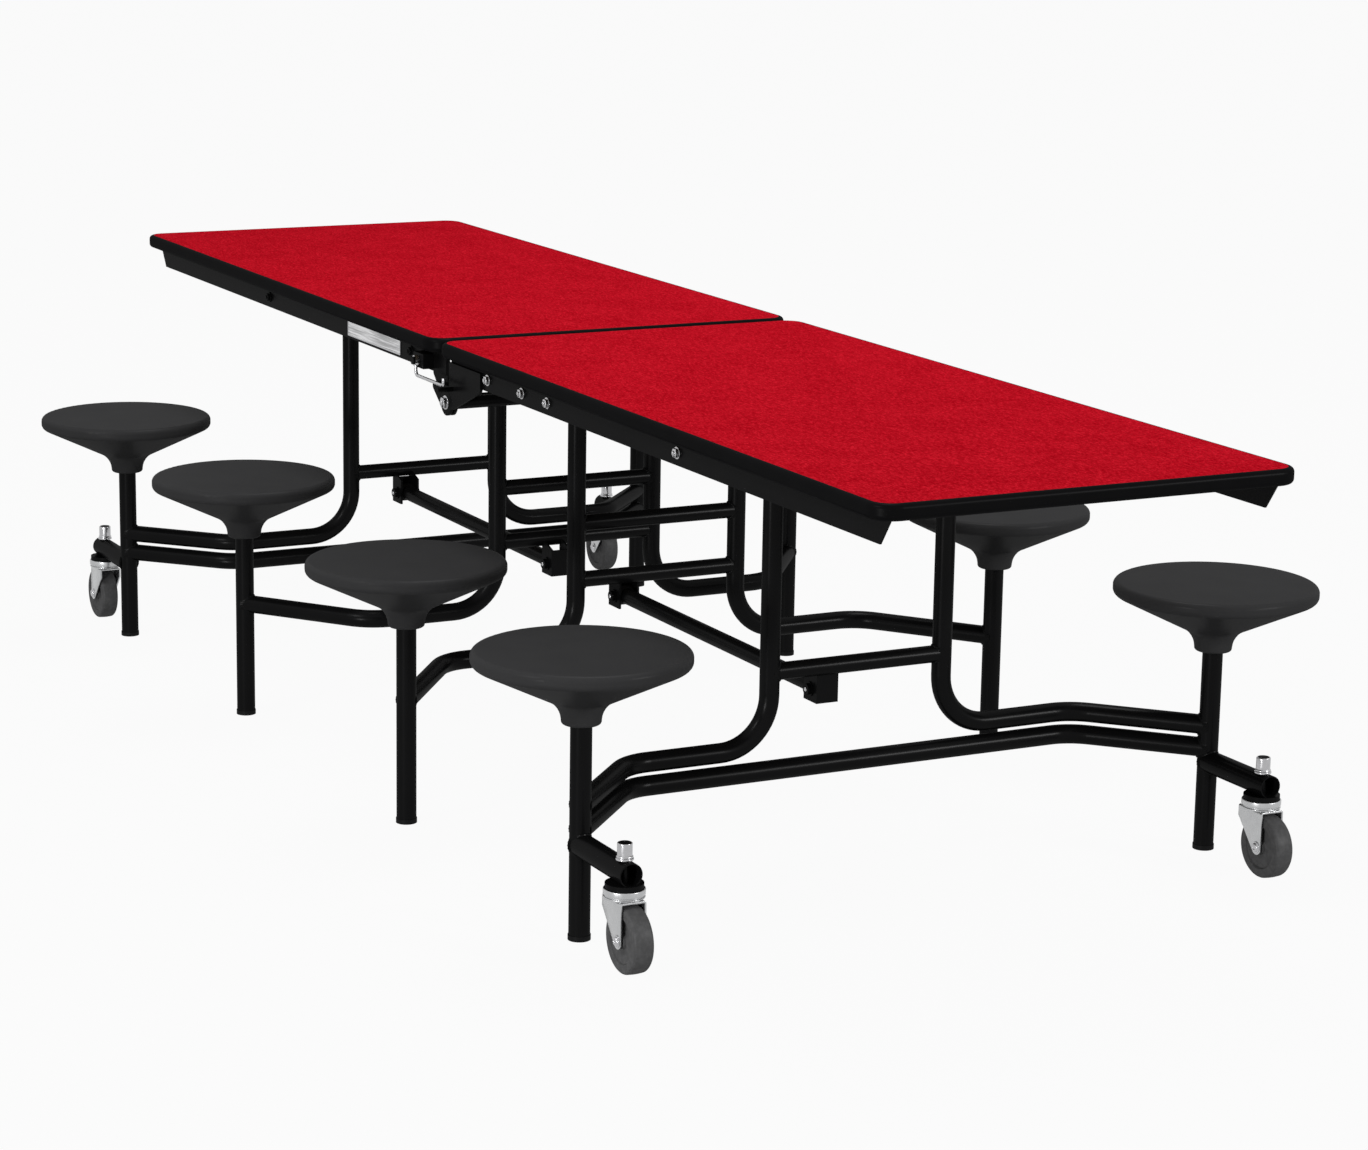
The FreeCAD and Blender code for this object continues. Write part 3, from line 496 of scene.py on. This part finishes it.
class TABLE_OT_welds(bpy.types.Operator):
    """Lay weld beads where the tubes of the frames meet"""

    bl_idname = "table.welds"
    bl_label = "Welds"

    def execute(self, context):
        for side, sx in SIDES:
            for frame_place in ("end", "inner"):
                self.frame_welds(side, sx, frame_place)
        return {"FINISHED"}

    def frame_welds(self, side, sx, frame_place):
        whole = bmesh.new()
        leg_x, post_x = sx * LEG_X[frame_place], sx * POST_X[frame_place]
        bar = weld(BAR_RADIUS, LEG_RADIUS)
        arm = weld(LEG_RADIUS, POST_RADIUS)
        caster_arm = weld(CASTER_ARM_RADIUS, POST_RADIUS)
        bar_heights = (CROSS_BAR_Z,) if frame_place == "end" else (CROSS_BAR_Z, TIE_BAR_Z)
        arm_heights = (ARM_Z, FLOOR_TUBE_Z) if frame_place == "end" else (ARM_Z,)
        for _, sy in ROWS:
            for height in bar_heights:
                add(whole, bar, reaching((leg_x, sy * LEG_Y, height), (0, -sy, 0)))
            inward = (leg_x - post_x, sy * (TURN_Y - POST_Y), 0)
            for height in arm_heights:
                add(whole, arm, reaching((post_x, sy * POST_Y, height), inward))
            if frame_place == "end":
                add(whole, caster_arm, reaching((post_x, sy * POST_Y, CASTER_ARM_Z), (sx, 0, 0)))
        for part in (bar, arm, caster_arm):
            part.free()
        place = "%s_%s" % (side, frame_place)
        finished(place + "_welds", whole, place + "_frame", "frame")


# Bolts and screws


RAIL_FACE, RAIL_BACK, BRACE_WALL = 325.5, 322.5, 3
HINGE_FACE = 330.5
RAIL_BOLT_Z, UNDERSIDE_Z, RAIL_THICKNESS = 691.8, 711.8, 3
PIVOT_X = (167, 875)
BRACE_BOLT_X = (306, 406)
FLANGE_Y = 309
FLANGE_START, FLANGE_END = 60, 1470
HEXAGON = 6
HEAD_RISE, HEAD_CHAMFER, HEAD_ROUND = 0.62, 0.15, 0.2
THREAD_SHARE, THREAD_RISE, THREAD_ROUND, THREAD_TOP, THREAD_STEPS = 0.45, 2.2, 0.9, 2.6, 20
WASHER_THICKNESS, WASHER_ROUND, WASHER_STEPS = 2, 0.6, 36
SCREW_SECTION = ((0, 0), (5.2, 0), (5.2, 1.2, 0.5), (3.6, 2.6, 0.8), (2, 2.9), (1.8, 1.5), (0, 1.5))
SCREW_STEPS = 20
LINK_X = {"end": 849, "inner": 141}
LINK_BOLT_Z = 288
LINK_Y, BRACKET_HALF = -50, 19.5


def fastener(head_size, washer_size=0):
    """A hexagonal head with the rounded end of its thread, on a washer if it has one, standing on z = 0."""
    head = head_size / MM / 2
    rim = washer_size / MM / 2
    foot = WASHER_THICKNESS if washer_size else 0
    top = foot + HEAD_RISE * head
    chamfer = HEAD_CHAMFER * head
    bm = turned([(0, foot), (head, foot), (head, top - chamfer / 2, HEAD_ROUND), (head - chamfer, top),
                 (0, top)], HEXAGON)
    thread = THREAD_SHARE * head
    add(bm, turned([(0, top), (thread, top), (thread, top + THREAD_RISE, THREAD_ROUND),
                    (0, top + THREAD_TOP)], THREAD_STEPS), Matrix())
    if washer_size:
        add(bm, turned([(0, 0), (rim, 0), (rim, foot, WASHER_ROUND), (0, foot)], WASHER_STEPS), Matrix())
    return bm


class TABLE_OT_bolts(bpy.types.Operator):
    """Set hexagonal bolts with washers through the rails, the hinge and the link brackets"""

    bl_idname = "table.bolts"
    bl_label = "Bolts"

    def execute(self, context):
        bolt = fastener(sizes().bolt_head, sizes().washer)
        nut = fastener(sizes().bolt_head)
        hinge_bolt = fastener(sizes().hinge_bolt_head, sizes().hinge_washer)
        for side, sx in SIDES:
            self.rail_bolts(side, sx, bolt, nut)
            for frame_place in ("end", "inner"):
                self.link_bolt(side, sx, frame_place, bolt, nut)
        hinge = bmesh.new()
        for _, sy in ROWS:
            centre = joint_place("centre_hinge")
            add(hinge, hinge_bolt, facing((centre.x, sy * HINGE_FACE * MM, centre.z), (0, sy, 0)))
        finished("hinge_bolt_heads", hinge, "right_half", "zinc", ["hinge_bolts"])
        for part in (bolt, nut, hinge_bolt):
            part.free()
        return {"FINISHED"}

    def rail_bolts(self, side, sx, bolt, nut):
        bright, coated = bmesh.new(), bmesh.new()
        for row, sy in ROWS:
            label_side = side == "left" and row == "near"
            for x in PIVOT_X + (() if label_side else BRACE_BOLT_X):
                outside = Vector((sx * x, sy * RAIL_FACE, RAIL_BOLT_Z)) * MM
                add(coated if label_side else bright, bolt, facing(outside, (0, sy, 0)))
            for x in BRACE_BOLT_X:
                inside = Vector((sx * x, sy * (RAIL_BACK - BRACE_WALL), RAIL_BOLT_Z)) * MM
                add(bright, nut, facing(inside, (0, -sy, 0)))
        finished(side + "_rail_bolt_heads", bright, side + "_half", "zinc", [side + "_rail_bolts"])
        if coated.faces:
            finished(side + "_coated_bolt_heads", coated, side + "_half", "frame")

    def link_bolt(self, side, sx, frame_place, bolt, nut):
        whole = bmesh.new()
        x = sx * LINK_X[frame_place]
        for way, part in ((-1, bolt), (1, nut)):
            face = Vector((x, LINK_Y + way * BRACKET_HALF, LINK_BOLT_Z)) * MM
            add(whole, part, facing(face, (0, way, 0)))
        place = "%s_%s" % (side, frame_place)
        finished(place + "_link_bolt", whole, place + "_frame", "zinc")


EYE_RADIUS, EYE_BORE, EYE_PROUD, EYE_ROUND, EYE_STEPS = 23, 8, 0.3, 0.8, 72
HINGE_PLATE = 5


class TABLE_OT_hinge_eyes(bpy.types.Operator):
    """Round off the eyes of the hinge plates"""

    bl_idname = "table.hinge_eyes"
    bl_label = "Hinge eyes"

    def execute(self, context):
        thick = HINGE_PLATE + 2 * EYE_PROUD
        part = turned([(EYE_BORE, 0), (EYE_RADIUS, 0, EYE_ROUND), (EYE_RADIUS, thick, EYE_ROUND),
                       (EYE_BORE, thick)], EYE_STEPS, closed=True)
        centre = joint_place("centre_hinge")
        for side, back in (("right", RAIL_FACE), ("left", RAIL_BACK - HINGE_PLATE)):
            whole = bmesh.new()
            for _, sy in ROWS:
                place = Vector((centre.x, sy * (back - EYE_PROUD) * MM, centre.z))
                add(whole, part, facing(place, (0, sy, 0)))
            finished(side + "_hinge_eyes", whole, side + "_half", "frame")
        part.free()
        return {"FINISHED"}


RIM_WIDTH, RIM_RISE = 2.2, 0.5


class TABLE_OT_label(bpy.types.Operator):
    """Put a bright rim round the bare plate on the rail"""

    bl_idname = "table.label"
    bl_label = "Label rim"

    def execute(self, context):
        low, high = (Vector(corner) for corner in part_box("label_plate"))
        bm = bmesh.new()
        bmesh.ops.create_grid(bm, x_segments=1, y_segments=1, size=0.5)
        bmesh.ops.scale(bm, vec=(high.x - low.x, high.z - low.z, 1), verts=bm.verts[:])
        field = bm.faces[:]
        bmesh.ops.inset_region(bm, faces=field, thickness=RIM_WIDTH * MM, use_boundary=True,
                               use_even_offset=True)
        bmesh.ops.delete(bm, geom=field, context="FACES")
        bmesh.ops.solidify(bm, geom=bm.faces[:], thickness=2 * RIM_RISE * MM)
        height = sum(vert.co.z for vert in bm.verts) / len(bm.verts)
        bmesh.ops.translate(bm, verts=bm.verts[:], vec=(0, 0, -height))
        whole = bmesh.new()
        middle = (low + high) / 2
        add(whole, bm, facing((middle.x, low.y, middle.z), (0, -1, 0)))
        bm.free()
        finished("label_rim", whole, "left_half", "zinc")
        return {"FINISHED"}


class TABLE_OT_screws(bpy.types.Operator):
    """Screw the rails to the underside of the top"""

    bl_idname = "table.screws"
    bl_label = "Screws"

    def execute(self, context):
        part = turned(SCREW_SECTION, SCREW_STEPS)
        count = round((FLANGE_END - FLANGE_START) * MM / sizes().screw_spacing)
        step = (FLANGE_END - FLANGE_START) / count
        for side, sx in SIDES:
            whole = bmesh.new()
            for number in range(count + 1):
                for _, sy in ROWS:
                    place = Vector((sx * (FLANGE_START + number * step), sy * FLANGE_Y,
                                    UNDERSIDE_Z - RAIL_THICKNESS)) * MM
                    add(whole, part, facing(place, (0, 0, -1)))
            finished(side + "_rail_screws", whole, side + "_half", "zinc")
        part.free()
        return {"FINISHED"}


# Casters


AXLE_U, AXLE_Z = 20, 51
BOSS_RADIUS = 12
CROWN_HALF, CROWN_TOP, CHEEK_OUTSIDE, CHEEK_LOW = 31, 110, 21, 30
SLANT_FROM, SLANT_TO = 220.6, 361.4
SLANT_STEPS, BEND_STEPS, RIM_STEPS = 12, 6, 2
FORK_RIM = 0.5
RACE_TOP, LIP_TOP = 119, 124.5
NUT_FOOT, NUT_TOP = 167, 192.5
# Half sections as turned takes them: radius, height and an optional round
RACE_SECTION = (
    (7, CROWN_TOP), (30, CROWN_TOP), (31, CROWN_TOP + 1, 0.6), (31, CROWN_TOP + 2.6, 0.6),
    (29, CROWN_TOP + 3.2, 0.3), (29, CROWN_TOP + 5, 0.3), (31.4, CROWN_TOP + 5.6, 0.6),
    (31.4, LIP_TOP, 1.2), (29.5, LIP_TOP, 0.3), (29.5, RACE_TOP), (7, RACE_TOP))
CAP_SECTION = (
    (0, NUT_FOOT), (13.5, NUT_FOOT), (13.5, NUT_FOOT + 2.5, 0.9), (12, NUT_FOOT + 3, 0.4),
    (12.8, NUT_FOOT + 4.5, 0.6), (12, NUT_FOOT + 6.2, 0.4), (11.4, NUT_FOOT + 6.6), (11.4, NUT_TOP, 1.3),
    (0, NUT_TOP))
# The next two sections are painted shade: a black stem that darkens the gap at the open end of the arm, and a thin
# black disc that darkens the top of the cap nut
STEM_SECTION = ((0, RACE_TOP - 10), (6, RACE_TOP - 10), (6, NUT_FOOT + 2), (0, NUT_FOOT + 2))
PAINTED_SHADE_DISC_SECTION = ((0, NUT_TOP - 1), (9.4, NUT_TOP - 1), (9.4, NUT_TOP + 0.4, 0.3), (0, NUT_TOP + 0.7))
AXLE_HEAD_SECTION = (
    (0, 0), (9.5, 0), (9.5, 1.2, 0.5), (7.2, 1.5, 0.2), (6.8, 3.6, 1.6), (3.4, 4.4, 0.8), (2.8, 3.2, 0.3),
    (0, 3.2))
RACE_STEPS, CAP_STEPS, STEM_STEPS, PAINTED_SHADE_DISC_STEPS, AXLE_HEAD_STEPS = 72, 48, 24, 40, 36


def fork_sheet():
    """A sheet bent over the wheel, with cheeks that taper to a round boss at the axle."""
    bm = bmesh.new()
    section = ((-CHEEK_OUTSIDE, CHEEK_LOW), (-CHEEK_OUTSIDE, CROWN_TOP), (CHEEK_OUTSIDE, CROWN_TOP),
               (CHEEK_OUTSIDE, CHEEK_LOW))
    corners = [bm.verts.new((-CROWN_HALF * MM, across * MM, height * MM)) for across, height in section]
    for pair in zip(corners, corners[1:]):
        bm.edges.new(pair)
    bmesh.ops.bevel(bm, geom=corners[1:3], offset=sizes().fork_bend, offset_type="OFFSET",
                    segments=BEND_STEPS, profile=ROUND_PROFILE, affect="VERTICES", material=-1)
    sheet = bmesh.ops.extrude_edge_only(bm, edges=bm.edges[:])
    moved = [item for item in sheet["geom"] if isinstance(item, bmesh.types.BMVert)]
    bmesh.ops.translate(bm, verts=moved, vec=(2 * CROWN_HALF * MM, 0, 0))
    axle = Vector((AXLE_U, 0, AXLE_Z)) * MM
    for number in range(SLANT_STEPS + 1):
        angle = math.radians(SLANT_FROM + (SLANT_TO - SLANT_FROM) * number / SLANT_STEPS)
        away = Vector((math.cos(angle), 0, math.sin(angle)))
        bmesh.ops.bisect_plane(bm, geom=bm.verts[:] + bm.edges[:] + bm.faces[:], dist=MERGE,
                               plane_co=axle + away * BOSS_RADIUS * MM, plane_no=away, clear_outer=True)
    closed_up(bm)
    bmesh.ops.solidify(bm, geom=bm.faces[:], thickness=sizes().fork_plate)
    rims = [edge for edge in bm.edges if edge.calc_face_angle(0) > SHARP]
    bmesh.ops.bevel(bm, geom=rims, offset=FORK_RIM * MM, offset_type="OFFSET", segments=RIM_STEPS,
                    profile=ROUND_PROFILE, affect="EDGES", material=-1)
    return bm


class TABLE_OT_casters(bpy.types.Operator):
    """Build the forks, raceways, cap nuts and axle bolts of the four casters"""

    bl_idname = "table.casters"
    bl_label = "Casters"

    def execute(self, context):
        fork = fork_sheet()
        race = turned(RACE_SECTION, RACE_STEPS, closed=True)
        cap = turned(CAP_SECTION, CAP_STEPS)
        stem = turned(STEM_SECTION, STEM_STEPS)
        painted_shade_disc = turned(PAINTED_SHADE_DISC_SECTION, PAINTED_SHADE_DISC_STEPS)
        axle_head = turned(AXLE_HEAD_SECTION, AXLE_HEAD_STEPS)
        for side, sx in SIDES:
            for row, sy in ROWS:
                place = "%s_%s" % (row, side)
                swivel = joint_place(place + "_swivel")
                stand = Matrix.Translation((swivel.x, swivel.y, 0)) @ Matrix.Scale(sx, 4, (1, 0, 0))
                whole = bmesh.new()
                add(whole, fork, stand)
                add(whole, race, stand)
                finished(place + "_fork", whole, place + "_caster", "fork", [place + "_caster_fork"])
                fixings = bmesh.new()
                add(fixings, cap, stand)
                axle = joint_place(place + "_roll")
                for way in (-1, 1):
                    face = axle + Vector((0, way * CHEEK_OUTSIDE * MM, 0))
                    add(fixings, axle_head, facing(face, (0, way, 0)))
                finished(place + "_fixings", fixings, place + "_caster", "zinc")
                # Painted shade: the stem and the disc on the cap nut's top get the black coat, so the gap below
                # the arm and the top of the nut look dark
                dark = bmesh.new()
                add(dark, stem, stand)
                add(dark, painted_shade_disc, stand)
                finished(place + "_painted_shade_stem_and_disc", dark, place + "_caster", "frame")
        for part in (fork, race, cap, stem, painted_shade_disc, axle_head):
            part.free()
        return {"FINISHED"}


WHEEL_RADIUS, WHEEL_HALF, WHEEL_STEPS = 51, 16, 96
TREAD_ROUND = 5
# One side of the wheel's half section, from its bore to its tread
WHEEL_SIDE = (
    (5.2, WHEEL_HALF), (11.5, WHEEL_HALF, 1), (13, WHEEL_HALF - 5, 1.5), (30, WHEEL_HALF - 5, 2),
    (34, WHEEL_HALF - 4, 1), (35.5, WHEEL_HALF - 0.6, 0.5), (36.5, WHEEL_HALF, 0.4),
    (WHEEL_RADIUS - 4, WHEEL_HALF, 1.2), (WHEEL_RADIUS - 1, WHEEL_HALF - 3, 1.5))


class TABLE_OT_wheels(bpy.types.Operator):
    """Build the four caster wheels"""

    bl_idname = "table.wheels"
    bl_label = "Wheels"

    def execute(self, context):
        lower = [(radius, -height, *reach) for radius, height, *reach in reversed(WHEEL_SIDE)]
        part = turned([*WHEEL_SIDE, (WHEEL_RADIUS, 0, TREAD_ROUND), *lower], WHEEL_STEPS, closed=True)
        for side, _ in SIDES:
            for row, _ in ROWS:
                place = "%s_%s" % (row, side)
                whole = bmesh.new()
                add(whole, part, facing(joint_place(place + "_roll"), (0, 1, 0)))
                finished(place + "_tyre", whole, place + "_wheel", "wheel", [place + "_caster_wheel"])
        part.free()
        return {"FINISHED"}


# Stage


CAMERA_PLACE = (5.634, -2.767, 1.709)
CAMERA_TURN = (77.274, -0.916, 62.909)
PHOTO_FOCUS = 3572 / 1368
SENSOR = 36.0
FLOOR_HALF = 90.0
FLOOR_GLOW, FLOOR_ROUGHNESS = 0.95, 0.9
FLOOR_COLOUR = (0.35, 0.35, 0.35, 1.0)
WHITE = (1.0, 1.0, 1.0, 1.0)
WORLD_LIGHT = 0.25
# Name, place, aim, width in metres and power in watts
LAMPS = (
    ("key", (1.5, -5.0, 4.5), (0.2, 0, 0.5), 1.6, 112),
    ("top", (-0.5, 0.6, 5.0), (0, 0, 0.6), 2.0, 92),
    ("side", (3.4, -5.0, 0.35), (0.2, 0, 0.3), 0.6, 105),
    ("front", (6.0, 3.6, 2.5), (0.7, 0, 0.35), 1.2, 180),
)


def floor_finish():
    finish = Finish("pale_floor", {"Specular IOR Level": 0.0})
    seen = finish.in_view() * FLOOR_GLOW
    finish.surface(FLOOR_COLOUR, FLOOR_ROUGHNESS)
    glow = finish.node("Emission", {}, {"Color": WHITE, "Strength": 1.0})
    output = finish.tree.nodes["Material Output"]
    plain = Value(finish, finish.shader.outputs["BSDF"])
    mixed = finish.node("MixShader", {}, {0: seen, 1: plain, 2: glow})
    finish.feed(output.inputs["Surface"], mixed)
    return finish.material


def lamp(name, place, aim, width, power):
    light = bpy.data.lights.new(name, "AREA")
    light.shape = "DISK"
    light.size = width
    light.energy = power
    obj = bpy.data.objects.new(name, light)
    obj.location = place
    obj.rotation_euler = (Vector(aim) - Vector(place)).to_track_quat("-Z", "Y").to_euler()
    bpy.context.scene.collection.objects.link(obj)


class TABLE_OT_stage(bpy.types.Operator):
    """Make the floor, the light and the camera"""

    bl_idname = "table.stage"
    bl_label = "Stage"

    def execute(self, context):
        self.floor()
        self.light()
        self.camera()
        return {"FINISHED"}

    def floor(self):
        bm = bmesh.new()
        bmesh.ops.create_grid(bm, x_segments=1, y_segments=1, size=FLOOR_HALF)
        mesh = bpy.data.meshes.new("floor")
        bm.to_mesh(mesh)
        bm.free()
        mesh.materials.append(floor_finish())
        obj = bpy.data.objects.new("floor", mesh)
        bpy.context.scene.collection.objects.link(obj)

    def light(self):
        world = bpy.data.worlds.new("studio")
        bpy.context.scene.world = world
        world.use_nodes = True
        nodes = Nodes(world.node_tree)
        background = nodes.tree.nodes["Background"]
        nodes.feed(background.inputs["Color"], WHITE)
        nodes.feed(background.inputs["Strength"], nodes.in_view() * (1 - WORLD_LIGHT) + WORLD_LIGHT)
        for row in LAMPS:
            lamp(*row)

    def camera(self):
        camera = bpy.data.cameras.new("camera")
        camera.sensor_width = SENSOR
        camera.lens = PHOTO_FOCUS * SENSOR
        camera.clip_end = 4 * FLOOR_HALF
        obj = bpy.data.objects.new("camera", camera)
        obj.location = CAMERA_PLACE
        obj.rotation_euler = [math.radians(angle) for angle in CAMERA_TURN]
        bpy.context.scene.collection.objects.link(obj)
        bpy.context.scene.camera = obj
        bpy.context.scene.view_settings.view_transform = "Standard"


OPERATORS = (TABLE_OT_finishes, TABLE_OT_welds, TABLE_OT_bolts, TABLE_OT_hinge_eyes, TABLE_OT_label,
             TABLE_OT_screws, TABLE_OT_casters, TABLE_OT_wheels, TABLE_OT_stage)


class TABLE_PT_looks(bpy.types.Panel):
    """The steps that dress the table"""

    bl_idname = "TABLE_PT_looks"
    bl_label = "Cafeteria Table"
    bl_space_type = "VIEW_3D"
    bl_region_type = "UI"
    bl_category = "Table"

    def draw(self, context):
        for group in (context.scene.table_colours, context.scene.table_sizes):
            for name in group.__annotations__:
                self.layout.prop(group, name)
        for step in OPERATORS:
            self.layout.operator(step.bl_idname)


CLASSES = (TableColours, TableSizes, *OPERATORS, TABLE_PT_looks)


def register():
    for cls in CLASSES:
        bpy.utils.register_class(cls)
    bpy.types.Scene.table_colours = bpy.props.PointerProperty(type=TableColours)
    bpy.types.Scene.table_sizes = bpy.props.PointerProperty(type=TableSizes)


def unregister():
    del bpy.types.Scene.table_sizes
    del bpy.types.Scene.table_colours
    for cls in reversed(CLASSES):
        bpy.utils.unregister_class(cls)


def main():
    register()
    bpy.ops.table.finishes()
    bpy.ops.table.welds()
    bpy.ops.table.bolts()
    bpy.ops.table.hinge_eyes()
    bpy.ops.table.label()
    bpy.ops.table.screws()
    bpy.ops.table.casters()
    bpy.ops.table.wheels()
    bpy.ops.table.stage()


if __name__ == "__main__":
    main()
